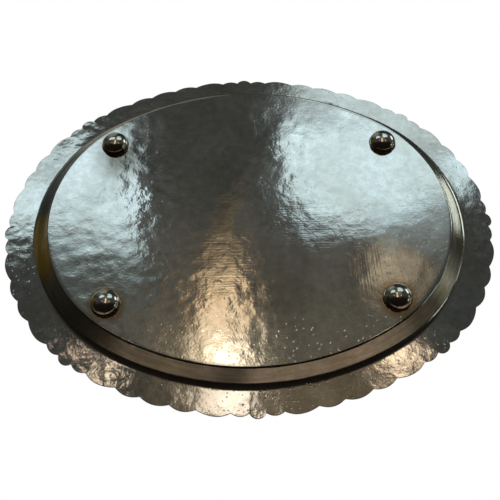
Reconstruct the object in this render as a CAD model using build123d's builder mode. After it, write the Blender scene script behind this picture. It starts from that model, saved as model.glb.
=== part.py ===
"""Footed oval tray: one sunk and hammered sheet on four soldered dome feet.

The tray stands on its feet, +Z up.  The origin is on the table under the middle of the tray,
and +X runs along its length.
"""
from build123d import *
from math import atan2, degrees
import os

os.makedirs("parts", exist_ok=True)

# Sheet and bends, millimetres
sheet = 1.2
crease_radius = 0.8
bend_radius = 6.5
wall_thinning = 0.5

# Plan of the tray: every level of it is an oval of two end arcs and two side arcs
base_length = 276.0
base_width = 220.0
wall_run_at_ends = 11.0
wall_run_at_sides = 7.5
flange_at_ends = 19.5
flange_at_sides = 16.7
end_roundness = 0.893

# Heights of the pressing, measured on its underside
wall_height = 12.4
flange_rise = 2.2

# Scallops along the rim: runs of shallow lobes between small proud beads.
# The widths are shared out along the rim in proportion, so that they always close the round.
bead_width = 10.5
small_lobe_width = 11.3
wide_lobe_width = 21.5
medium_lobe_width = 16.7
centre_lobe_width = 19.0
bead_height = 3.3
small_lobe_height = 1.9
wide_lobe_height = 2.6
medium_lobe_height = 2.3
wide_lobe_lean = 0.07

# Feet and their solder.  The wear is how much of the dome's tip is worn away.
foot_diameter = 18.4
foot_height = 7.9
foot_skirt = 1.2
foot_wear = 0.05
foot_inset_from_end = 42.6
foot_inset_from_side = 46.8
solder_film = 0.2
solder_leg = 0.55
solder_hollow_radius = 1.0
solder_clearance = 0.02

# The feet were set by eye: each has its corner of the base and its own shift off the even grid
FEET = {
    "front_left": ((-1, -1), (-0.4, -0.2)),
    "front_right": ((1, -1), (3.5, 4.0)),
    "rear_left": ((-1, 1), (0.9, 0.9)),
    "rear_right": ((1, 1), (-2.9, 3.0)),
}

base_level = foot_height + solder_film
flange_level = base_level + wall_height
edge_length = base_length + 2 * (wall_run_at_ends + flange_at_ends)
edge_width = base_width + 2 * (wall_run_at_sides + flange_at_sides)
foot_radius = foot_diameter / 2

# The flange is lofted this much wider than its edge, before the scallops trim it
edge_overrun = 3 * bead_height


def oval(half_length, half_width):
    """Add the four arcs of an oval to the line that is being built."""
    end_radius = end_roundness * half_width
    end_centre = half_length - end_radius
    side_gap = half_width - end_radius
    side_centre = (end_centre**2 - side_gap**2) / (2 * side_gap)
    joint = degrees(atan2(side_centre, end_centre))
    CenterArc((end_centre, 0), end_radius, -joint, 2 * joint)
    CenterArc((0, -side_centre), half_width + side_centre, joint, 180 - 2 * joint)
    CenterArc((-end_centre, 0), end_radius, 180 - joint, 2 * joint)
    CenterArc((0, side_centre), half_width + side_centre, 180 + joint, 180 - 2 * joint)


def pressing_ovals(lift, inset):
    """Half length, half width and level of the ovals of one face of the sheet.

    They are at its base, at its upper bend and past its edge.  The lift is above the underside
    of the sheet, and the inset is what the wall loses.
    """
    overrun = 1 + edge_overrun / flange_at_sides
    base = (base_length / 2 - inset, base_width / 2 - inset, base_level + lift)
    bend = (base[0] + wall_run_at_ends, base[1] + wall_run_at_sides, flange_level + lift)
    past_edge = (
        bend[0] + flange_at_ends * overrun,
        bend[1] + flange_at_sides * overrun,
        bend[2] + flange_rise * overrun,
    )
    return [base, bend, past_edge]


def edges_at(part, level):
    """Edges of a part that lie at one height."""
    tolerance = 0.01
    return part.edges().filter_by_position(Axis.Z, level - tolerance, level + tolerance)


def scallops():
    """Lobes once round the rim as (width, height, crest along the lobe), from the +X end."""
    bead = (bead_width, bead_height, 0.5)
    small = (small_lobe_width, small_lobe_height, 0.5)
    medium = (medium_lobe_width, medium_lobe_height, 0.5)
    centre = (centre_lobe_width, medium_lobe_height, 0.5)
    after_bead = (wide_lobe_width, wide_lobe_height, 0.5 - wide_lobe_lean)
    before_bead = (wide_lobe_width, wide_lobe_height, 0.5 + wide_lobe_lean)
    end_run = [small, after_bead, medium, medium, before_bead, small]
    side_run = [small, after_bead, medium, centre, medium, before_bead, small]
    half_round = [bead, *end_run, bead, *side_run, bead, *side_run, bead, *end_run]
    return half_round + half_round


# Line through the valleys between the scallops
with BuildLine() as valley_line:
    oval(edge_length / 2, edge_width / 2)
valleys = valley_line.wire()
end_arc_length = valleys.edges().sort_by(Axis.X)[-1].length


def beside_valleys(travel, height):
    """Point at a distance along the valley line, moved outwards by a height."""
    along = (travel / valleys.length) % 1.0
    tangent = valleys % along
    return valleys @ along + Vector(tangent.Y, -tangent.X) * height


# Scalloped outline of the rim: beads are round, and the lobes between them are shallow waves
with BuildSketch() as rim_outline:
    with BuildLine():
        lobes = scallops()
        share = valleys.length / sum(width for width, _, _ in lobes)
        travel = (end_arc_length - bead_width * share) / 2
        for width, height, crest in lobes:
            start = beside_valleys(travel, 0)
            top = beside_valleys(travel + crest * width * share, height)
            travel += width * share
            end = beside_valleys(travel, 0)
            if height == bead_height:
                ThreePointArc(start, top, end)
            else:
                Spline(start, top, end)
    make_face()

# Tray body: base, wall, flange and scalloped edge in one sheet
with BuildPart() as tray_body:
    for lift, inset, mode in ((0, 0, Mode.ADD), (sheet, wall_thinning, Mode.SUBTRACT)):
        for half_length, half_width, level in pressing_ovals(lift, inset):
            with BuildSketch(Plane.XY.offset(level)):
                with BuildLine():
                    oval(half_length, half_width)
                make_face()
        loft(ruled=True, mode=mode)
    fillet(edges_at(tray_body, base_level), crease_radius + sheet)
    fillet(edges_at(tray_body, base_level + sheet), crease_radius)
    fillet(edges_at(tray_body, flange_level), bend_radius)
    fillet(edges_at(tray_body, flange_level + sheet), bend_radius + sheet)
    extrude(rim_outline.sketch, amount=2 * flange_level, mode=Mode.INTERSECT)
tray_body.part.label = "tray_body"
export_step(tray_body.part, "parts/tray_body.step")

for place, ((side_x, side_y), (shift_x, shift_y)) in FEET.items():
    foot_x = side_x * (base_length / 2 - foot_inset_from_end) + shift_x
    foot_y = side_y * (base_width / 2 - foot_inset_from_side) + shift_y
    upright = Plane(origin=(foot_x, foot_y, 0), x_dir=(1, 0, 0), z_dir=(0, -1, 0))
    foot_axis = Axis((foot_x, foot_y, 0), (0, 0, 1))

    # Dome foot: a short straight skirt under the base, then a dome worn flat where it stands
    with BuildPart() as foot:
        with BuildSketch(upright):
            with Locations((0, foot_height - foot_skirt)):
                Ellipse(foot_radius, foot_height - foot_skirt + foot_wear)
            with Locations((0, foot_height - foot_skirt)):
                Rectangle(foot_diameter, foot_skirt, align=(Align.CENTER, Align.MIN))
            Rectangle(foot_radius, foot_height, align=(Align.MIN, Align.MIN), mode=Mode.INTERSECT)
        revolve(axis=foot_axis)
    foot.part.label = f"foot_{place}"
    export_step(foot.part, f"parts/foot_{place}.step")

    # Solder: a film between foot and base, and a hollow fillet round the foot's skirt
    with BuildPart() as solder:
        with BuildSketch(upright):
            inner = foot_radius + solder_clearance
            outer = inner + solder_leg
            with BuildLine():
                Polyline(
                    (inner, foot_height - solder_leg),
                    (inner, foot_height),
                    (0, foot_height),
                    (0, base_level),
                    (outer, base_level),
                )
                RadiusArc((inner, foot_height - solder_leg), (outer, base_level), solder_hollow_radius)
            make_face()
        revolve(axis=foot_axis)
    solder.part.label = f"solder_{place}"
    export_step(solder.part, f"parts/solder_{place}.step")
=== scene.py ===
"""Looks of a footed oval tray: hammered, silver plated sheet on four soldered dome feet."""
from math import atan2, cos, pi, sin

import bmesh
import bpy
from mathutils import Matrix, Vector, noise


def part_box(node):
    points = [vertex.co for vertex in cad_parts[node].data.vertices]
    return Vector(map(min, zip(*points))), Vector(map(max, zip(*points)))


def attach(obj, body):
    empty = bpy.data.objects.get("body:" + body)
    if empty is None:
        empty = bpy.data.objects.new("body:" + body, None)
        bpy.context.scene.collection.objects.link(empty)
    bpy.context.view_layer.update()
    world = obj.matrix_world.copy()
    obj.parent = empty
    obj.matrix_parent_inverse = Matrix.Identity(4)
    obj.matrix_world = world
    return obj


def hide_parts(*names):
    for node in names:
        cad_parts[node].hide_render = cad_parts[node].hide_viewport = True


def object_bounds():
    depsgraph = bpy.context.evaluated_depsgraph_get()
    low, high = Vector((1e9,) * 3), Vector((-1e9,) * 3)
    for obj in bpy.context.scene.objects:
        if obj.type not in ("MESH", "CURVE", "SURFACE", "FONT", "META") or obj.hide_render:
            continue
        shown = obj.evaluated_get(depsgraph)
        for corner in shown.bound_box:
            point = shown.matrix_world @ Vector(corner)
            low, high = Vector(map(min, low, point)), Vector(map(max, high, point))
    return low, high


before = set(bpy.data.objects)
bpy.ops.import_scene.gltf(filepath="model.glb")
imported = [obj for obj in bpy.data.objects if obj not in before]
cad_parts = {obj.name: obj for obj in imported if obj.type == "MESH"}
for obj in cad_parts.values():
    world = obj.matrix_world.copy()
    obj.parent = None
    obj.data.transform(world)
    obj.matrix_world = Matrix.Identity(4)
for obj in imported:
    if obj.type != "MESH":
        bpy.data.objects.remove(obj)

MM = 0.001
cad_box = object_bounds()

# The tray's own sizes, as its solid has them
SHEET = 1.2 * MM
CREASE_RADIUS = 0.8 * MM
BEND_RADIUS = 6.5 * MM
WALL_THINNING = 0.5 * MM
BASE_LENGTH = 276.0 * MM
BASE_WIDTH = 220.0 * MM
WALL_RUN_AT_ENDS = 11.0 * MM
WALL_RUN_AT_SIDES = 7.5 * MM
FLANGE_AT_ENDS = 19.5 * MM
FLANGE_AT_SIDES = 16.7 * MM
WALL_HEIGHT = 12.4 * MM
FLANGE_RISE = 2.2 * MM
END_ROUNDNESS = 0.893
BASE_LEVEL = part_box("tray_body")[0].z
FLANGE_LEVEL = BASE_LEVEL + WALL_HEIGHT
EDGE_SOFTENING = 0.15 * MM

# Lobes of the edge: width, height, where along it the crest lies, and how many steps draw it
BEAD_WIDTH = 10.5 * MM
BEAD_HEIGHT = 3.3 * MM
BEAD = (BEAD_WIDTH, BEAD_HEIGHT, 0.5, 12)
SMALL = (11.3 * MM, 1.9 * MM, 0.5, 12)
WIDE = (21.5 * MM, 2.6 * MM, 0.43, 21)
WIDE_BACK = (21.5 * MM, 2.6 * MM, 0.57, 21)
MEDIUM = (16.7 * MM, 2.3 * MM, 0.5, 16)
CENTRE = (19.0 * MM, 2.3 * MM, 0.5, 20)
END_RUN = [SMALL, WIDE, MEDIUM, MEDIUM, WIDE_BACK, SMALL]
SIDE_RUN = [SMALL, WIDE, MEDIUM, CENTRE, MEDIUM, WIDE_BACK, SMALL]
HALF_ROUND = [BEAD, *END_RUN, BEAD, *SIDE_RUN, BEAD, *SIDE_RUN, BEAD, *END_RUN]
LOBES = HALF_ROUND + HALF_ROUND
EDGE_STEPS = sum(count for _, _, _, count in LOBES)

# Rings of the sheet from its centre outwards: span of the section, number of rings,
# share of the span where they start and end, and edge steps between neighbours of a ring
BASE, CREASE, WALL, BEND, FLANGE, EDGE = range(6)
UNDER_RINGS = [
    (BASE, 8, 0.0, 0.12, 16),
    (BASE, 9, 0.12, 0.25, 8),
    (BASE, 18, 0.25, 0.5, 4),
    (BASE, 38, 0.5, 1.0, 2),
    (CREASE, 4, 0.0, 1.0, 2),
    (WALL, 8, 0.0, 1.0, 2),
    (BEND, 7, 0.0, 1.0, 2),
    (FLANGE, 17, 0.0, 0.985, 1),
    (FLANGE, 1, 0.985, 1.0, 1),
    (EDGE, 2, 0.0, 0.8, 1),
]
OVER_RINGS = [
    (BASE, 6, 0.0, 0.12, 16),
    (BASE, 7, 0.12, 0.25, 8),
    (BASE, 13, 0.25, 0.5, 4),
    (BASE, 27, 0.5, 1.0, 2),
    (CREASE, 3, 0.0, 1.0, 2),
    (WALL, 7, 0.0, 1.0, 2),
    (BEND, 6, 0.0, 1.0, 2),
    (FLANGE, 15, 0.0, 0.985, 1),
    (FLANGE, 1, 0.985, 1.0, 1),
]

# Layers of unevenness that the hammer leaves: depth, width of a mark, and seed of the pattern
SWELLS = [(0.10 * MM, 42 * MM, 1), (0.07 * MM, 19 * MM, 11)]
LIVELY_GRAIN = [(0.038 * MM, 8 * MM, 2), (0.021 * MM, 4.5 * MM, 9)]
LIVELY_BLOWS = [(0.024 * MM, 6.5 * MM, 3)]
FLANGE_GRAIN = [(0.04 * MM, 12 * MM, 4)]
FLANGE_BLOWS = [(0.014 * MM, 3.0 * MM, 5)]
END_BLOWS = [(0.12 * MM, 5.0 * MM, 15)]
CREASE_GRAIN = [(0.16 * MM, 2.6 * MM, 7), (0.10 * MM, 9 * MM, 8)]
WALL_GRAIN = [(0.12 * MM, 22 * MM, 6)]
WALL_STREAKS = [(0.03 * MM, 4 * MM, 12)]
BEND_GRAIN = [(0.10 * MM, 11 * MM, 13), (0.03 * MM, 4 * MM, 14)]
STREAK_STRETCH = 5

# The ridges between blows are flattened at this share of a mark's depth
RIDGE = 0.6

# The lively layers weaken from the -X end to the +X end, and in a spot near the middle
LIVELINESS_FALL = 0.70
CALM_SPOT = Vector((0, 20 * MM, 0))
CALM_RADIUS = 55 * MM
CALM_LOSS = 0.55

# The blows at the ends of the flange come in with a high power of X, and weaken towards the front
END_POWER = 8
END_MOST = 1.5
END_MIDDLE = 0.75
END_FRONT = 0.3
END_FADE_LENGTH = 40 * MM

# Shares of the base and of the flange over which the hammer marks come in
BASE_FADE = 1 / 16
FLANGE_FADE = 1 / 6
RIM_MARKS_FADE = 1 / 4

# The lobes of the edge stand up a little against the valleys, from this share of the flange outwards
LOBE_LIFT = 0.10 * MM
LOBE_LIFT_START = 0.2

FEET = [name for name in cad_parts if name.startswith("foot_")]
SOLDERS = [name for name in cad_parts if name.startswith("solder_")]


# ---------------------------------------------------------------- shape of the tray


def oval_point(half_length, half_width, share):
    """Point and outward direction at a share of the way round an oval, from its +X end."""
    end_radius = END_ROUNDNESS * half_width
    end_centre = half_length - end_radius
    side_gap = half_width - end_radius
    side_centre = (end_centre**2 - side_gap**2) / (2 * side_gap)
    joint = atan2(side_centre, end_centre)
    side_radius = half_width + side_centre
    end_arc = end_radius * joint
    quarter = end_arc + side_radius * (pi / 2 - joint)
    travel = (share % 1.0) * 4 * quarter
    from_end = min(travel % (2 * quarter), 2 * quarter - travel % (2 * quarter))
    if from_end < end_arc:
        angle = from_end / end_radius
        point = Vector((end_centre + end_radius * cos(angle), end_radius * sin(angle)))
    else:
        angle = joint + (from_end - end_arc) / side_radius
        point = Vector((side_radius * cos(angle), side_radius * sin(angle) - side_centre))
    mirror = Vector((-1 if quarter < travel < 3 * quarter else 1, -1 if travel > 2 * quarter else 1))
    return point * mirror, Vector((cos(angle), sin(angle))) * mirror


def edge_steps():
    """Share of the way round and lobe height at every step of the scalloped edge."""
    whole = sum(width for width, _, _, _ in LOBES)
    travel = -BEAD_WIDTH / 2
    steps = []
    for width, height, crest, count in LOBES:
        for step in range(count):
            along = step / count
            if height == BEAD_HEIGHT:
                radius = (width**2 / 4 + height**2) / (2 * height)
                rise = height - radius + (radius**2 - ((along - 0.5) * width) ** 2) ** 0.5
            else:
                side = along / crest if along < crest else (1 - along) / (1 - crest)
                rise = height * side * (2 - side)
            steps.append(((travel + along * width) / whole % 1.0, rise))
        travel += width
    return steps


def grain(place, size, seed):
    """Smooth unevenness between -1 and 1 whose bumps are about as wide as the size."""
    return noise.noise(place / size + Vector((seed, 2 * seed, 0.5 * seed)))


def blows(place, size, seed):
    """Shallow dishes that hammer blows leave side by side, with flattened ridges between them."""
    distances, _ = noise.voronoi(place / size + Vector((seed, 3 * seed, 0.0)))
    return min(distances[0] ** 2, RIDGE)


def layered(pattern, place, layers):
    """Sum at a place of a pattern's layers, each with its depth, width of mark and seed."""
    return sum(depth * pattern(place, size, seed) for depth, size, seed in layers)


def hammered(place, flange):
    """How far the hammer has moved the sheet up or down at a place on the base or the flange."""
    calm = max(0.0, 1.0 - (place - CALM_SPOT).length / CALM_RADIUS)
    liveliness = 1.0 - LIVELINESS_FALL * place.x / (BASE_LENGTH / 2)
    liveliness *= 1.0 - CALM_LOSS * calm
    rise = layered(grain, place, SWELLS)
    rise += liveliness * layered(grain, place, LIVELY_GRAIN)
    rise += liveliness * layered(blows, place, LIVELY_BLOWS)
    if flange:
        at_ends = min(END_MOST, (2 * place.x / BASE_LENGTH) ** END_POWER)
        at_rear = min(1.0, max(END_FRONT, END_MIDDLE + place.y / END_FADE_LENGTH))
        rise += flange * layered(grain, place, FLANGE_GRAIN)
        rise += flange * layered(blows, place, FLANGE_BLOWS)
        rise += flange * at_ends * at_rear * layered(blows, place, END_BLOWS)
    return rise


def corner_trim(before, corner, after, radius):
    """Points where a rounding of that radius leaves the two straight legs of a corner."""
    back = (before - corner).normalized()
    on = (after - corner).normalized()
    half_turn = (pi - back.angle(on)) / 2
    trim = radius * sin(half_turn) / cos(half_turn)
    return corner + back * trim, corner + on * trim


def section(share, rise, top):
    """Spans of one face of the sheet along a line from its centre to its edge."""
    lift = SHEET if top else 0
    inset = WALL_THINNING if top else 0
    half_length = BASE_LENGTH / 2
    half_width = BASE_WIDTH / 2
    crease, _ = oval_point(half_length - inset, half_width - inset, share)
    half_length += WALL_RUN_AT_ENDS
    half_width += WALL_RUN_AT_SIDES
    bend, _ = oval_point(half_length - inset, half_width - inset, share)
    valley, outward = oval_point(half_length + FLANGE_AT_ENDS, half_width + FLANGE_AT_SIDES, share)
    tip = valley + outward * rise
    tip_rise = FLANGE_RISE * (1 + rise / (valley - bend).length)
    level = BASE_LEVEL + lift
    centre = Vector((0, 0, level))
    crease = Vector((crease.x, crease.y, level))
    bend = Vector((bend.x, bend.y, level + WALL_HEIGHT))
    tip = Vector((tip.x, tip.y, level + WALL_HEIGHT + tip_rise))
    lip = tip - Vector((outward.x, outward.y, 0)) * EDGE_SOFTENING
    crease_in, crease_out = corner_trim(centre, crease, bend, CREASE_RADIUS + (0 if top else SHEET))
    bend_in, bend_out = corner_trim(crease, bend, tip, BEND_RADIUS + (SHEET if top else 0))
    return [
        (centre, (centre + crease_in) / 2, crease_in),
        (crease_in, crease, crease_out),
        (crease_out, (crease_out + bend_in) / 2, bend_in),
        (bend_in, bend, bend_out),
        (bend_out, (bend_out + lip) / 2, lip),
        (tip, tip + Vector((0, 0, SHEET / 2)), tip + Vector((0, 0, SHEET))),
    ]


def on_span(span, along):
    """Point along a span, which is a quadratic curve through its three points."""
    start, middle, end = span
    return start * (1 - along) ** 2 + middle * (2 * along * (1 - along)) + end * along**2


def face_point(spans, rise, course, along):
    """Point of one face of the sheet, moved by the hammer."""
    point = on_span(spans[course], along)
    place = Vector((point.x, point.y, 0))
    between_ends = sin(pi * along)
    if course == BASE:
        point.z += min(1.0, (1 - along) / BASE_FADE) * hammered(place, 0)
    elif course == CREASE:
        point += place.normalized() * (layered(grain, point, CREASE_GRAIN) * between_ends)
    elif course == WALL:
        streak = Vector((point.x / STREAK_STRETCH, point.y / STREAK_STRETCH, point.z))
        push = layered(grain, point, WALL_GRAIN) + layered(grain, streak, WALL_STREAKS)
        point += place.normalized() * (push * between_ends)
    elif course == BEND:
        point += place.normalized() * (layered(grain, point, BEND_GRAIN) * between_ends)
    else:
        spread = 1.0 if course == EDGE else along
        raised = max(0.0, spread - LOBE_LIFT_START) / (1 - LOBE_LIFT_START)
        point.z += LOBE_LIFT * raised**2 * (rise / BEAD_HEIGHT - 0.5)
        marks = hammered(place, min(1.0, spread / RIM_MARKS_FADE))
        point.z += min(1.0, spread / FLANGE_FADE) * marks
        point.z = min(point.z, cad_box[1].z)
    return point


def sheet_face(rings, steps, top):
    """One face of the sheet, drawn as a flat disc of rings whose every point is then set in place."""
    _, first_rings, _, first_end, pitch = rings[0]
    bm = bmesh.new()
    bmesh.ops.create_circle(bm, segments=EDGE_STEPS // pitch, radius=1.0, cap_ends=True, cap_tris=True)
    edges = [edge for edge in bm.edges if edge.is_boundary]

    # The circle is the centre and the first ring
    places = {0: (BASE, 0.0), 1: (BASE, first_end / first_rings)}
    number = 1
    for course, amount, start, end, stride in rings:
        if stride != pitch:
            bmesh.ops.subdivide_edges(bm, edges=edges, cuts=1)
            edges = [edge for edge in bm.edges if edge.is_boundary]
            pitch = stride
        for step in range(1, amount + 1):
            along = start + (end - start) * step / amount
            if (course, along) == places[1]:
                continue
            number += 1
            places[number] = (course, along)
            grown = bmesh.ops.extrude_edge_only(bm, edges=edges)["geom"]
            edges = [item for item in grown if isinstance(item, bmesh.types.BMEdge)]
            for vertex in grown:
                if isinstance(vertex, bmesh.types.BMVert):
                    vertex.co = vertex.co.normalized() * number

    # A point that halves an edge lies a little inside its ring, so a little is added to find the ring
    halving_slack = 0.05
    spans = [section(share, rise, top) for share, rise in steps]
    for vertex in bm.verts:
        course, along = places[round(vertex.co.length + halving_slack)]
        index = round(atan2(vertex.co.y, vertex.co.x) / (2 * pi) * EDGE_STEPS) % EDGE_STEPS
        vertex.co = face_point(spans[index], steps[index][1], course, along)
    face = bpy.data.meshes.new("sheet_face")
    bm.to_mesh(face)
    bm.free()
    return face


def hammered_tray():
    """The sheet: its underside and its upper face, joined round the scalloped edge."""
    bm = bmesh.new()
    steps = edge_steps()
    bm.from_mesh(sheet_face(UNDER_RINGS, steps, False))
    bm.from_mesh(sheet_face(OVER_RINGS, steps, True))
    bmesh.ops.bridge_loops(bm, edges=[edge for edge in bm.edges if edge.is_boundary])
    bmesh.ops.recalc_face_normals(bm, faces=bm.faces)
    mesh = bpy.data.meshes.new("hammered_tray")
    bm.to_mesh(mesh)
    bm.free()
    mesh.polygons.foreach_set("use_smooth", [True] * len(mesh.polygons))
    tray = bpy.data.objects.new("hammered_tray", mesh)
    bpy.context.scene.collection.objects.link(tray)
    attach(tray, "root")
    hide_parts("tray_body")
    return tray


# ---------------------------------------------------------------- nodes that materials share


def hexed(colour):
    """Linear colour of an sRGB hex value."""
    channels = [int(colour[i : i + 2], 16) / 255 for i in (1, 3, 5)]
    linear = [c / 12.92 if c <= 0.04045 else ((c + 0.055) / 1.055) ** 2.4 for c in channels]
    return (*linear, 1.0)


def add(tree, kind, inputs=None, **settings):
    """Add a node with its settings, and set or link its inputs."""
    node = tree.nodes.new(kind)
    for name, value in settings.items():
        setattr(node, name, value)
    for name, value in (inputs or {}).items():
        if isinstance(value, bpy.types.NodeSocket):
            tree.links.new(value, node.inputs[name])
        else:
            node.inputs[name].default_value = value
    return node


def object_coords(tree):
    """Coordinates of the object itself, in metres."""
    return add(tree, "ShaderNodeTexCoord").outputs["Object"]


def maths(tree, operation, *values, **settings):
    """Result of a math operation on numbers and sockets."""
    return add(tree, "ShaderNodeMath", dict(enumerate(values)), operation=operation, **settings).outputs[0]


def mapped(tree, value, start, end, low, high, smooth=False):
    """A value that runs from start to end, made to run from low to high and held beyond them."""
    ranges = {"Value": value, "From Min": start, "From Max": end, "To Min": low, "To Max": high}
    run = "SMOOTHSTEP" if smooth else "LINEAR"
    return add(tree, "ShaderNodeMapRange", ranges, interpolation_type=run).outputs[0]


def cloud(tree, coords, size, detail, **inputs):
    """Noise whose clouds are about as wide as the size."""
    inputs = {"Vector": coords, "Scale": 1 / size, "Detail": detail, **inputs}
    return add(tree, "ShaderNodeTexNoise", inputs).outputs["Fac"]


def stretched_cloud(tree, coords, sizes, detail):
    """Noise whose clouds have a size of their own along each axis."""
    scale = tuple(1 / size for size in sizes)
    laid = add(tree, "ShaderNodeMapping", {"Vector": coords, "Scale": scale}).outputs[0]
    return cloud(tree, laid, 1.0, detail)


def distance(tree, coords, middle):
    """Distance of a point from a middle."""
    return add(tree, "ShaderNodeVectorMath", {0: coords, 1: middle}, operation="DISTANCE").outputs["Value"]


def blend(tree, share, first, second):
    """Mix of two colours, each of which is a socket or a hex value."""
    first, second = (hexed(end) if isinstance(end, str) else end for end in (first, second))
    return add(tree, "ShaderNodeMix", {0: share, 6: first, 7: second}, data_type="RGBA").outputs[2]


def bumped(tree, height, depth, **under):
    """Normal of a surface with that relief, laid over the normal under it."""
    return add(tree, "ShaderNodeBump", {"Height": height, "Distance": depth, **under}).outputs[0]


def new_material(name):
    """Material with its node tree and its shader."""
    material = bpy.data.materials.new(name)
    material.use_nodes = True
    tree = material.node_tree
    return material, tree, tree.nodes["Principled BSDF"]


# ---------------------------------------------------------------- materials of the tray

# Levels between which the base ends, the wall begins, the wall's dullness ends and the flange begins
BASE_END = (BASE_LEVEL + 0.4 * MM, BASE_LEVEL + 0.8 * MM)
WALL_START = (BASE_LEVEL + 0.8 * MM, BASE_LEVEL + 1.8 * MM)
DULLNESS_END = (FLANGE_LEVEL - 1.2 * MM, FLANGE_LEVEL)
FLANGE_START = (FLANGE_LEVEL - 1.5 * MM, FLANGE_LEVEL)

# Colours of the metal
SILVER = "#dddcd8"
TARNISHED = "#b5ad9c"
GRIMY = "#8c8a84"
BANDED = "#98938a"
BROWNED = "#a5824f"
SOOTY = "#6d665a"
POLISHED = "#cfcbc0"
FIRE_SCALE = "#6b5240"
BRIGHT_SOLDER = "#cfb195"

# Widths of the clouds and marks
BOUT_SIZE = 22 * MM
STRAY_SIZE = 14 * MM
TARNISH_SIZE = 45 * MM
GRIME_SIZE = 5 * MM
BAND_SIZES = (16 * MM, 16 * MM, 2.2 * MM)
SKIN_SIZE = 3.2 * MM
GRIT_SIZE = 1.3 * MM
PIT_SIZE = 2.6 * MM
FOOT_WEAR_SIZE = 3 * MM
FIRE_SCALE_SIZE = 2 * MM

# Depths of the relief that is too fine for the mesh
STROKE_DEPTH = 0.024 * MM
SKIN_DEPTH = 0.038 * MM
GRIT_DEPTH = 0.034 * MM
PIT_DEPTH = 0.10 * MM

# How strong the grit and the extra skin are on the flange
RIM_GRIT = 0.45
RIM_SKIN = 0.45

# Strokes: size of one along X, Y and Z, noise detail, their middle, how far they are full, how far
# they fade, and how strong they stay beyond that
BRUSH_LINES = ((40 * MM, 1.1 * MM, 1.0), 3.0, (4 * MM, 24 * MM, BASE_LEVEL), 18 * MM, 88 * MM, 0.15)
CROSS_STROKES = ((1.4 * MM, 30 * MM, 1.0), 2.0, (76 * MM, 46 * MM, BASE_LEVEL), 8 * MM, 34 * MM, 0.0)

# Where the flange is pitted most: middle of the spot, how far it is full, how far it fades, how deep
PITTED_SPOTS = [
    ((32 * MM, 122 * MM, FLANGE_LEVEL), 22 * MM, 52 * MM, 0.75),
    ((-160 * MM, 27 * MM, FLANGE_LEVEL), 10 * MM, 32 * MM, 0.7),
]
PITS_ELSEWHERE = 0.12
UNPITTED_SHARE = 0.45

# Heat marks, which wander by a stray distance: where they are full, where they end, how strong.
# The rear feet were heated more than the front ones, and soot was left beside the front left foot.
STRAY = 4 * MM
HALO = (8.5 * MM, 16 * MM, 0.75)
FRONT_HALO_LOSS = 5 * MM
SOOT = (3 * MM, 27 * MM, 0.85)
SOOT_STRAY = 1.6
SOOT_SHIFT = Vector((4 * MM, 10 * MM, 0))


def over_foot(name):
    """Middle of a foot, on the underside of the base."""
    low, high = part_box(name)
    return Vector(((low.x + high.x) / 2, (low.y + high.y) / 2, BASE_LEVEL))


def heat_mark(tree, away, full, end, strength, on_base):
    """Mark of heat on the base, by the distance from its source."""
    mark = mapped(tree, away, full, end, strength, 0.0, smooth=True)
    return maths(tree, "MULTIPLY", mark, on_base)


def nearest_foot(tree, coords):
    """Distance from the nearest foot, counted as longer at the front feet."""
    nearest = None
    for name in FEET:
        away = distance(tree, coords, over_foot(name))
        if "front" in name:
            away = maths(tree, "ADD", away, FRONT_HALO_LOSS)
        nearest = away if nearest is None else maths(tree, "MINIMUM", nearest, away)
    return nearest


def strokes(tree, coords, sizes, detail, middle, inner, outer, left):
    """Strokes laid in one direction, which fade away from their middle."""
    drawn = stretched_cloud(tree, coords, sizes, detail)
    kept = mapped(tree, distance(tree, coords, middle), inner, outer, 1.0, left, smooth=True)
    return maths(tree, "MULTIPLY", drawn, kept)


def pits(tree, coords, border, flange):
    """Scattered dents of a worn hammer face, deepest along the rear border and in spots of the flange."""
    cells = add(tree, "ShaderNodeTexVoronoi", {"Vector": coords, "Scale": 1 / PIT_SIZE})
    dent = mapped(tree, cells.outputs["Distance"], 0.05, 0.3, -1.0, 0.0, smooth=True)
    lot = add(tree, "ShaderNodeSeparateColor", {0: cells.outputs["Color"]}).outputs[0]
    dent = maths(tree, "MULTIPLY", dent, maths(tree, "GREATER_THAN", lot, UNPITTED_SHARE))

    parts = add(tree, "ShaderNodeSeparateXYZ", {0: coords}).outputs
    at_rear = mapped(tree, parts["Y"], 60 * MM, 92 * MM, 0.15, 1.3)
    at_right = mapped(tree, parts["X"], -2 * MM, 18 * MM, 0.15, 1.0)
    base_pits = maths(tree, "MULTIPLY", border, at_rear)
    base_pits = maths(tree, "MULTIPLY", base_pits, at_right)
    rim_pits = PITS_ELSEWHERE
    for middle, inner, outer, most in PITTED_SPOTS:
        spot = mapped(tree, distance(tree, coords, middle), inner, outer, most, 0.0, smooth=True)
        rim_pits = maths(tree, "MAXIMUM", rim_pits, spot)
    rim_pits = maths(tree, "MULTIPLY", flange, rim_pits)
    depth = mapped(tree, maths(tree, "MAXIMUM", base_pits, rim_pits), 0.0, 1.0, 0.10, 1.25)
    return maths(tree, "MULTIPLY", dent, depth)


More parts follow.
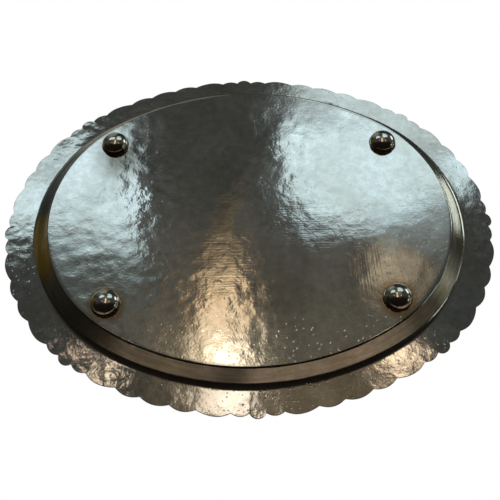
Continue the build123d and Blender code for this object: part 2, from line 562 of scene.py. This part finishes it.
def hammered_silver_plate():
    """Worn silver plate on hammered sheet, which mirrors the room in broken, wavering pieces.

    It is gritty and pitted near its edges, brushed in the middle of its underside, and browned by
    heat round the feet.
    """
    material, tree, shader = new_material("hammered_silver_plate")
    coords = object_coords(tree)
    parts = add(tree, "ShaderNodeSeparateXYZ", {0: coords}).outputs
    level = parts["Z"]

    # Where the sheet is flange, wall or base
    flange = mapped(tree, level, *FLANGE_START, 0.0, 1.0)
    past_crease = mapped(tree, level, *WALL_START, 0.0, 1.0)
    off_wall = mapped(tree, level, *WALL_START, 1.0, 0.06)
    on_base = mapped(tree, level, *BASE_END, 1.0, 0.0)

    # The hammer leaves grit on the flange, and less of it on the base the nearer its middle
    to_oval = (2 / BASE_LENGTH, 2 / BASE_WIDTH, 0.0)
    oval = add(tree, "ShaderNodeVectorMath", {0: coords, 1: to_oval}, operation="MULTIPLY").outputs[0]
    outwards = add(tree, "ShaderNodeVectorMath", {0: oval}, operation="LENGTH").outputs["Value"]
    border = maths(tree, "MULTIPLY", mapped(tree, outwards, 0.62, 1.0, 0.0, 0.5), off_wall)
    rim_grit = maths(tree, "MULTIPLY", flange, RIM_GRIT)
    bouts = mapped(tree, cloud(tree, coords, BOUT_SIZE, 2.0), 0.35, 0.65, 0.45, 1.3)
    gritty = maths(tree, "MULTIPLY", maths(tree, "MAXIMUM", border, rim_grit), bouts)

    # Heat halo round each foot, and soot beside one of them
    stray = mapped(tree, cloud(tree, coords, STRAY_SIZE, 3.0), 0.0, 1.0, -STRAY, STRAY)
    from_feet = maths(tree, "ADD", nearest_foot(tree, coords), stray)
    halo = heat_mark(tree, from_feet, *HALO, on_base)
    from_soot = distance(tree, coords, over_foot("foot_front_left") + SOOT_SHIFT)
    from_soot = maths(tree, "MULTIPLY_ADD", stray, SOOT_STRAY, from_soot)
    soot = heat_mark(tree, from_soot, *SOOT, on_base)

    # Tarnish in wide clouds, grime in the hammer marks, and bands along the wall
    tarnish = mapped(tree, cloud(tree, coords, TARNISH_SIZE, 5.0), 0.42, 0.75, 0.0, 0.5)
    grime = mapped(tree, cloud(tree, coords, GRIME_SIZE, 4.0, Roughness=0.65), 0.35, 0.65, 0.30, 0.0)
    bands = stretched_cloud(tree, coords, BAND_SIZES, 3.0)
    bands = mapped(tree, bands, 0.38, 0.68, 0.0, 0.45)
    on_wall = maths(tree, "SUBTRACT", past_crease, flange)
    bands = maths(tree, "MULTIPLY", bands, on_wall, use_clamp=True)
    colour = blend(tree, tarnish, SILVER, TARNISHED)
    colour = blend(tree, grime, colour, GRIMY)
    colour = blend(tree, bands, colour, BANDED)
    colour = blend(tree, halo, colour, BROWNED)
    colour = blend(tree, soot, colour, SOOTY)
    tree.links.new(colour, shader.inputs["Base Color"])

    # Planishing skin, livelier towards -X and on the flange, and grit
    lively = mapped(tree, parts["X"], -BASE_LENGTH / 2, BASE_LENGTH / 2, 1.7, 0.4)
    lively = maths(tree, "MULTIPLY_ADD", flange, RIM_SKIN, lively)
    skin = maths(tree, "MULTIPLY", cloud(tree, coords, SKIN_SIZE, 1.5), bouts)
    skin = maths(tree, "MULTIPLY", skin, lively)
    grit = maths(tree, "MULTIPLY", cloud(tree, coords, GRIT_SIZE, 1.0), gritty)

    # Brush lines along the tray and cross strokes where the right rear foot was rubbed clean,
    # under the skin, the grit and the pits
    normal = bumped(tree, strokes(tree, coords, *BRUSH_LINES), STROKE_DEPTH)
    normal = bumped(tree, strokes(tree, coords, *CROSS_STROKES), STROKE_DEPTH, Normal=normal)
    normal = bumped(tree, skin, SKIN_DEPTH, Normal=normal)
    normal = bumped(tree, grit, GRIT_DEPTH, Normal=normal)
    normal = bumped(tree, pits(tree, coords, border, flange), PIT_DEPTH, Normal=normal)
    tree.links.new(normal, shader.inputs["Normal"])

    # Grit, tarnish and the wall are duller than the rest
    rough = mapped(tree, gritty, 0.0, 1.0, 0.07, 0.16)
    rough = maths(tree, "MULTIPLY_ADD", tarnish, 0.08, rough)
    dull = mapped(tree, level, *DULLNESS_END, 0.08, 0.0)
    rough = maths(tree, "MULTIPLY_ADD", past_crease, dull, rough)
    tree.links.new(rough, shader.inputs["Roughness"])
    shader.inputs["Metallic"].default_value = 1.0
    return material


def polished_silver_plate():
    """Silver plate polished to a mirror on the dome feet, and dulled in small patches by wear."""
    material, tree, shader = new_material("polished_silver_plate")
    wear = cloud(tree, object_coords(tree), FOOT_WEAR_SIZE, 4.0)
    tree.links.new(mapped(tree, wear, 0.0, 1.0, 0.06, 0.20), shader.inputs["Roughness"])
    shader.inputs["Metallic"].default_value = 1.0
    shader.inputs["Base Color"].default_value = hexed(POLISHED)
    return material


def stained_solder():
    """Silver solder with brown fire scale on it, between patches that still shine."""
    material, tree, shader = new_material("fire_stained_solder")
    bare = cloud(tree, object_coords(tree), FIRE_SCALE_SIZE, 3.0)
    tree.links.new(blend(tree, bare, FIRE_SCALE, BRIGHT_SOLDER), shader.inputs["Base Color"])
    shader.inputs["Metallic"].default_value = 1.0
    shader.inputs["Roughness"].default_value = 0.20
    return material


tray = hammered_tray()
tray.data.materials.append(hammered_silver_plate())
foot_finish = polished_silver_plate()
solder_finish = stained_solder()
for name in FEET:
    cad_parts[name].data.materials.clear()
    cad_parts[name].data.materials.append(foot_finish)
for name in SOLDERS:
    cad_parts[name].data.materials.clear()
    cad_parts[name].data.materials.append(solder_finish)


# ---------------------------------------------------------------- stage, lamps and camera

# The floor is a square that reaches this far, and the dim room under it is half a ball with a ring
# of wall in it.  Lamps and cards lie level at one depth.
FLOOR_REACH = 12.0
BOWL_RADIUS = 6.0
BOWL_TOP = -0.004
WALL_RADIUS = 3.0
WALL_TOP = 1.7
WALL_JOINT = -0.12
WALL_BOTTOM = -1.53
ROUND_STEPS = 48
LAMP_DEPTH = -2.5
WARM_SPOT = (0.735, -1.27, LAMP_DEPTH)


def blank_material(name):
    """Material with an empty node tree, and that tree."""
    material = bpy.data.materials.new(name)
    material.use_nodes = True
    material.node_tree.nodes.clear()
    return material, material.node_tree


def shine(tree, colour, strength):
    """End a stage material's tree in an emission of that colour and strength."""
    glow = add(tree, "ShaderNodeEmission", {"Color": colour, "Strength": strength})
    add(tree, "ShaderNodeOutputMaterial", {"Surface": glow.outputs["Emission"]})


def uneven(tree, level, size, spread):
    """Level that wanders up and down by a share of itself, over patches of a size."""
    clutter = cloud(tree, object_coords(tree), size, 3.0)
    return mapped(tree, clutter, 0.3, 0.7, level * (1 - spread), level * (1 + spread))


def shade_ramp(tree, factor, stops):
    """Colours that change with a factor, each given with the place where it stands."""
    ramp = add(tree, "ShaderNodeValToRGB", {"Fac": factor})
    band = ramp.color_ramp
    band.elements.remove(band.elements[-1])
    band.elements[0].color = hexed(stops[0][1])
    for place, colour in stops[1:]:
        band.elements.new(place).color = hexed(colour)
    return ramp.outputs["Color"]


def emitter(name, colour, strength, size, spread):
    """Glowing material for a card of the stage, uneven as a real window or lamp is."""
    material, tree = blank_material(name)
    shine(tree, hexed(colour), uneven(tree, strength, size, spread))
    return material


def daylight(name, far, near, slant, shades, strength, size, spread):
    """Light of a window that changes from its far end to its near end, slanted across the room."""
    material, tree = blank_material(name)
    parts = add(tree, "ShaderNodeSeparateXYZ", {0: object_coords(tree)}).outputs
    depth = maths(tree, "MULTIPLY_ADD", parts["X"], slant, parts["Y"])
    depth = mapped(tree, depth, far, near, 0.0, 1.0)
    shine(tree, shade_ramp(tree, depth, shades), uneven(tree, strength, size, spread))
    return material


def one_sided_floor():
    """Pale floor seen from above, which nothing under it can see."""
    material, tree = blank_material("pale_floor")
    to_camera = add(tree, "ShaderNodeLightPath").outputs["Is Camera Ray"]
    behind = add(tree, "ShaderNodeNewGeometry").outputs["Backfacing"]
    shown = maths(tree, "MULTIPLY", to_camera, maths(tree, "SUBTRACT", 1.0, behind))
    clear = add(tree, "ShaderNodeBsdfTransparent").outputs[0]
    pale = add(tree, "ShaderNodeBsdfDiffuse", {"Color": hexed("#f4f3f1")}).outputs[0]
    mixed = add(tree, "ShaderNodeMixShader", {0: shown, 1: clear, 2: pale}).outputs[0]
    add(tree, "ShaderNodeOutputMaterial", {"Surface": mixed})
    return material


def room_floor():
    """Dim warm grey room under the tray, slate at its sides and nearly black behind the camera."""
    material, tree = blank_material("dim_room")
    parts = add(tree, "ShaderNodeSeparateXYZ", {0: object_coords(tree)}).outputs
    depth = mapped(tree, parts["Y"], -BOWL_RADIUS, BOWL_RADIUS, 0.0, 1.0)
    middle = [
        (0.0, "#454543"),
        (0.20, "#454643"),
        (0.25, "#52514c"),
        (0.30, "#5e5b51"),
        (0.43, "#645e4f"),
        (0.50, "#786b57"),
        (0.57, "#1d1a16"),
        (1.0, "#14110e"),
    ]
    sides = [(0.0, "#454543"), (0.44, "#414442"), (0.50, "#38352f"), (0.57, "#1a1815"), (1.0, "#14110e")]
    from_middle = maths(tree, "SUBTRACT", parts["X"], 0.35)
    aside = mapped(tree, maths(tree, "ABSOLUTE", from_middle), 1.1, 1.9, 0.0, 1.0)
    colour = blend(tree, aside, shade_ramp(tree, depth, middle), shade_ramp(tree, depth, sides))
    shine(tree, colour, uneven(tree, 1.0, 0.35, 0.45))
    return material


def room_walls(name, shades):
    """Walls of the dim room, whose colours change with the bearing: a quarter of the ramp a side."""
    material, tree = blank_material(name)
    coords = object_coords(tree)
    bearing = add(tree, "ShaderNodeTexGradient", {"Vector": coords}, gradient_type="RADIAL").outputs["Fac"]
    height = add(tree, "ShaderNodeSeparateXYZ", {0: coords}).outputs["Z"]
    high_up = mapped(tree, height, 0.80, 1.15, 0.0, 1.0)
    colour = blend(tree, high_up, shade_ramp(tree, bearing, shades), "#8b8984")
    shine(tree, colour, uneven(tree, 1.0, 0.25, 0.25))
    return material


def column_glow():
    """Warm light that grows from a dull tan far off to cream close by, soft on its left side."""
    material, tree = blank_material("column_glow")
    parts = add(tree, "ShaderNodeSeparateXYZ", {0: object_coords(tree)}).outputs
    depth = mapped(tree, parts["Y"], -1.85, -0.6, 0.0, 1.0)
    shades = [
        (0.0, "#2b2926"),
        (0.08, "#443e33"),
        (0.20, "#50483a"),
        (0.296, "#4b4132"),
        (0.40, "#6b5e4b"),
        (0.464, "#968369"),
        (0.52, "#dabd95"),
        (0.568, "#dcbf9a"),
        (0.616, "#cdb492"),
        (0.664, "#c3ac8c"),
        (0.744, "#c7b496"),
        (1.0, "#bba98a"),
    ]
    slanted = maths(tree, "MULTIPLY_ADD", parts["Y"], 0.17, parts["X"])
    soft_left = mapped(tree, slanted, -0.42, -0.27, 0.1, 1.0, smooth=True)
    level = maths(tree, "MULTIPLY", soft_left, uneven(tree, 2.4, 0.07, 0.4))
    shine(tree, shade_ramp(tree, depth, shades), level)
    return material


def warm_spot():
    """Warm spot that fades outwards from its middle."""
    material, tree = blank_material("warm_spot")
    away = distance(tree, object_coords(tree), WARM_SPOT)
    fading = mapped(tree, away, 0.02, 0.17, 1.0, 0.15, smooth=True)
    level = maths(tree, "MULTIPLY", fading, uneven(tree, 1.2, 0.05, 0.8))
    shine(tree, hexed("#c8b79c"), level)
    return material


def stage_piece(name, bm, material, glossy_only=True):
    """Put a bmesh on the stage, as a card that only reflections see or as the floor."""
    mesh = bpy.data.meshes.new(name)
    bm.to_mesh(mesh)
    bm.free()
    piece = bpy.data.objects.new(name, mesh)
    bpy.context.scene.collection.objects.link(piece)
    mesh.materials.append(material)
    if glossy_only:
        piece.visible_camera = False
        piece.visible_diffuse = False
        piece.visible_transmission = False
        piece.visible_shadow = False


def wall_ring(name, low, high, shades):
    """Ring of wall round the room, between two heights."""
    bm = bmesh.new()
    ends = [bm.verts.new((-WALL_RADIUS, 0, low)), bm.verts.new((-WALL_RADIUS, 0, high))]
    profile = ends + [bm.edges.new(ends)]
    turn = {"axis": (0, 0, 1), "cent": (0, 0, 0), "angle": 2 * pi}
    bmesh.ops.spin(bm, geom=profile, steps=ROUND_STEPS, use_merge=True, **turn)
    stage_piece(name, bm, room_walls(name, shades))


def card(name, corners, material):
    """Flat card under the tray, between corners on the plane of the lamps."""
    bm = bmesh.new()
    bm.faces.new([bm.verts.new((x, y, LAMP_DEPTH)) for x, y in corners])
    stage_piece(name, bm, material)


def side_window(name, start, end, low, high, colour, strength):
    """Upright window at the right of the room, between two places on the floor and two heights."""
    bm = bmesh.new()
    corners = [(*start, low), (*end, low), (*end, high), (*start, high)]
    bm.faces.new([bm.verts.new(corner) for corner in corners])
    stage_piece(name, bm, emitter(name, colour, strength, 0.3, 0.1))


def soft_lamp(name, place, size, colour, radiance, target):
    """Soft rectangular lamp at a place, facing a target, as bright as its radiance."""
    data = bpy.data.lights.new(name, "AREA")
    data.shape = "RECTANGLE"
    data.size, data.size_y = size
    data.color = hexed(colour)[:3]
    data.energy = radiance * pi * size[0] * size[1]
    piece = bpy.data.objects.new(name, data)
    bpy.context.scene.collection.objects.link(piece)
    towards = Vector(target) - Vector(place)
    piece.matrix_world = Matrix.Translation(place) @ towards.to_track_quat("-Z", "Y").to_matrix().to_4x4()
    piece.visible_camera = False


def low_lamp(name, left, right, far, near, colour, radiance):
    """Level lamp under the tray, shining up."""
    place = Vector(((left + right) / 2, (far + near) / 2, LAMP_DEPTH))
    soft_lamp(name, place, (right - left, near - far), colour, radiance, place + Vector((0, 0, 1)))


floor = bmesh.new()
bmesh.ops.create_grid(floor, x_segments=1, y_segments=1, size=FLOOR_REACH)
stage_piece("floor", floor, one_sided_floor(), glossy_only=False)

# Dim room under the tray, darkest behind the camera, and the walls that the tray's own wall reflects
bowl = bmesh.new()
bmesh.ops.create_uvsphere(bowl, u_segments=ROUND_STEPS, v_segments=ROUND_STEPS // 2, radius=BOWL_RADIUS)
cut = bowl.verts[:] + bowl.edges[:] + bowl.faces[:]
bmesh.ops.bisect_plane(bowl, geom=cut, plane_co=(0, 0, BOWL_TOP), plane_no=(0, 0, 1), clear_outer=True)
stage_piece("dim_room", bowl, room_floor())

# Bearings of the walls run from -X over -Y, +X and +Y back to -X
UPPER_WALLS = [
    (0.0, "#262620"),
    (0.018, "#312b21"),
    (0.03, "#3d3212"),
    (0.045, "#4b3e16"),
    (0.06, "#584a21"),
    (0.09, "#5a4d2c"),
    (0.098, "#2f3331"),
    (0.15, "#3c403e"),
    (0.165, "#8b887f"),
    (0.235, "#99968c"),
    (0.25, "#2c302d"),
    (0.35, "#2c302d"),
    (0.43, "#42423a"),
    (0.46, "#373830"),
    (0.483, "#6c6c61"),
    (0.50, "#9a998a"),
    (0.515, "#75745f"),
    (0.535, "#484237"),
    (0.575, "#4f493c"),
    (0.60, "#776a58"),
    (0.64, "#97856f"),
    (0.72, "#8f7c68"),
    (0.742, "#96836f"),
    (0.764, "#50463b"),
    (0.778, "#52483d"),
    (0.795, "#7b6c5a"),
    (0.83, "#7c6d5a"),
    (0.87, "#6e6151"),
    (0.895, "#352d23"),
    (0.92, "#232019"),
    (0.96, "#1b1a16"),
    (1.0, "#262620"),
]
LOWER_WALLS = [
    (0.0, "#1c1a16"),
    (0.03, "#2a2110"),
    (0.05, "#504323"),
    (0.07, "#5d502e"),
    (0.09, "#504420"),
    (0.098, "#30352f"),
    (0.11, "#363c3d"),
    (0.13, "#4e5152"),
    (0.15, "#6d726e"),
    (0.158, "#525857"),
    (0.17, "#858e86"),
    (0.19, "#8f8a80"),
    (0.235, "#8f8a80"),
    (0.25, "#2c302d"),
    (0.35, "#363b38"),
    (0.37, "#4a4f49"),
    (0.43, "#5a5b51"),
    (0.45, "#3e3f38"),
    (0.52, "#2c2a24"),
    (0.62, "#15120f"),
    (0.84, "#120f0c"),
    (1.0, "#1c1a16"),
]
wall_ring("upper_walls", WALL_JOINT, WALL_TOP, UPPER_WALLS)
wall_ring("lower_walls", WALL_BOTTOM, WALL_JOINT, LOWER_WALLS)

# The world is white where it is seen, and plain soft light otherwise
world = bpy.data.worlds.new("studio")
bpy.context.scene.world = world
world.use_nodes = True
world.node_tree.nodes.clear()
rays = add(world.node_tree, "ShaderNodeLightPath").outputs
seen = maths(world.node_tree, "MAXIMUM", rays["Is Camera Ray"], rays["Is Glossy Ray"])
seen = maths(world.node_tree, "MAXIMUM", seen, rays["Is Transmission Ray"])
white = {"Color": (1, 1, 1, 1), "Strength": mapped(world.node_tree, seen, 0.0, 1.0, 0.6, 1.0)}
light = add(world.node_tree, "ShaderNodeBackground", white)
add(world.node_tree, "ShaderNodeOutputWorld", {"Surface": light.outputs[0]})

# Windows, column and patch that the base mirrors: their corners, and the shades from far to near
RIGHT_CORNERS = [
    (0.27, -1.68),
    (0.35, -1.55),
    (0.56, -1.50),
    (0.66, -1.43),
    (0.72, -1.37),
    (1.15, -1.36),
    (1.9, -2.0),
    (2.4, -3.1),
    (2.3, -4.0),
    (1.9, -4.4),
    (0.6, -4.4),
    (0.41, -2.6),
    (0.27, -2.1),
]
RIGHT_SHADES = [
    (0.0, "#c9dde2"),
    (0.50, "#c5d8dc"),
    (0.592, "#98a5a8"),
    (0.647, "#a3b1b4"),
    (0.687, "#daf2fb"),
    (0.896, "#d4ecf4"),
    (0.914, "#87959a"),
    (0.930, "#727a79"),
    (1.0, "#5a6060"),
]
LEFT_CORNERS = [
    (-0.42, -1.18),
    (-1.3, -1.18),
    (-1.8, -1.62),
    (-2.4, -1.75),
    (-2.2, -3.2),
    (-1.35, -3.2),
    (-0.64, -2.4),
    (-0.57, -2.15),
    (-0.52, -1.93),
    (-0.49, -1.8),
    (-0.47, -1.5),
]
LEFT_SHADES = [
    (0.0, "#c9dde2"),
    (0.38, "#c2d5da"),
    (0.44, "#98a5a8"),
    (0.52, "#cfe5ed"),
    (0.57, "#daf2fb"),
    (0.77, "#daf2fb"),
    (0.85, "#9dafb4"),
    (0.895, "#6b7574"),
    (0.93, "#4a504e"),
    (1.0, "#3c3e3a"),
]
COLUMN_CORNERS = [
    (-0.06, -1.85),
    (0.02, -1.85),
    (0.01, -1.6),
    (0.0, -1.4),
    (0.0, -1.27),
    (0.02, -1.18),
    (0.03, -0.95),
    (0.05, -0.5),
    (-0.36, -0.5),
    (-0.32, -0.9),
    (-0.26, -1.18),
    (-0.18, -1.28),
    (-0.10, -1.4),
]
PATCH_CORNERS = [(0.57, -1.40), (0.92, -1.40), (0.92, -1.09), (0.57, -1.09)]
right_light = daylight(
    "right_daylight",
    far=-4.0,
    near=-1.0,
    slant=0.36,
    shades=RIGHT_SHADES,
    strength=1.45,
    size=0.14,
    spread=0.22,
)
left_light = daylight(
    "left_daylight",
    far=-3.2,
    near=-0.95,
    slant=-0.25,
    shades=LEFT_SHADES,
    strength=1.40,
    size=0.10,
    spread=0.30,
)
card("window_right", RIGHT_CORNERS, right_light)
card("window_left", LEFT_CORNERS, left_light)
card("warm_column", COLUMN_CORNERS, column_glow())

# Upright windows: their two places on the floor, two heights, colour and strength
SIDE_WINDOWS = {
    "side_window_far": ((2.10, -1.99), (2.66, -1.16), -1.15, -0.35, "#e8f4ec", 2.0),
    "side_window_middle": ((2.8, -0.6), (2.8, -0.15), -0.95, -0.5, "#d5e4d8", 0.9),
    "side_window_near": ((2.8, 0.25), (2.8, 0.9), -0.95, -0.5, "#d5e4d8", 1.2),
}
for name, window in SIDE_WINDOWS.items():
    side_window(name, *window)
card("warm_patch", PATCH_CORNERS, warm_spot())

# Warm lamps: left, right, far and near side, colour and radiance
LOW_LAMPS = {
    "warm_lamp_centre": (-0.11, 0.02, -0.93, -0.4, "#fff2de", 3.5),
    "warm_lamp_rim": (-0.30, 0.06, -0.2, 0.12, "#ffeeda", 1.7),
    "warm_lamp_left_far": (-1.10, -0.99, -0.50, -0.39, "#ffe0c4", 2.2),
    "warm_lamp_left_near": (-0.91, -0.82, -0.26, -0.15, "#ffe6c8", 2.8),
    "warm_lamp_right": (0.86, 1.10, -0.35, -0.17, "#ffe2c0", 2.4),
}
for name, lamp in LOW_LAMPS.items():
    low_lamp(name, *lamp)

# Two lamps above the floor light the tray's upper side, which the camera under it doesn't see
ABOVE_TARGET = (0, 0, 0.01)
soft_lamp("key_above", (-0.9, -1.1, 1.6), (1.2, 0.8), "#ffffff", 2.0, ABOVE_TARGET)
soft_lamp("fill_above", (1.3, 0.6, 1.3), (0.8, 0.8), "#ffffff", 1.2, ABOVE_TARGET)

# Camera under the tray, looking up at its feet
FOCAL_LENGTH = 50.45
CLIP_START = 0.01
camera_place = Vector((-0.0116, 0.2590, -0.3980))
camera_back = Vector((-0.0225, 0.4949, -0.8686)).normalized()
camera_right = Vector((0.9993, 0.0361, -0.0053))
camera_right = (camera_right - camera_back * camera_right.dot(camera_back)).normalized()
camera_up = camera_back.cross(camera_right)
lens = bpy.data.cameras.new("camera")
lens.lens = FOCAL_LENGTH
lens.clip_start = CLIP_START
camera = bpy.data.objects.new("camera", lens)
bpy.context.scene.collection.objects.link(camera)
turned = Matrix((camera_right, camera_up, camera_back)).transposed().to_4x4()
camera.matrix_world = Matrix.Translation(camera_place) @ turned
bpy.context.scene.camera = camera
bpy.context.scene.view_settings.view_transform = "Standard"
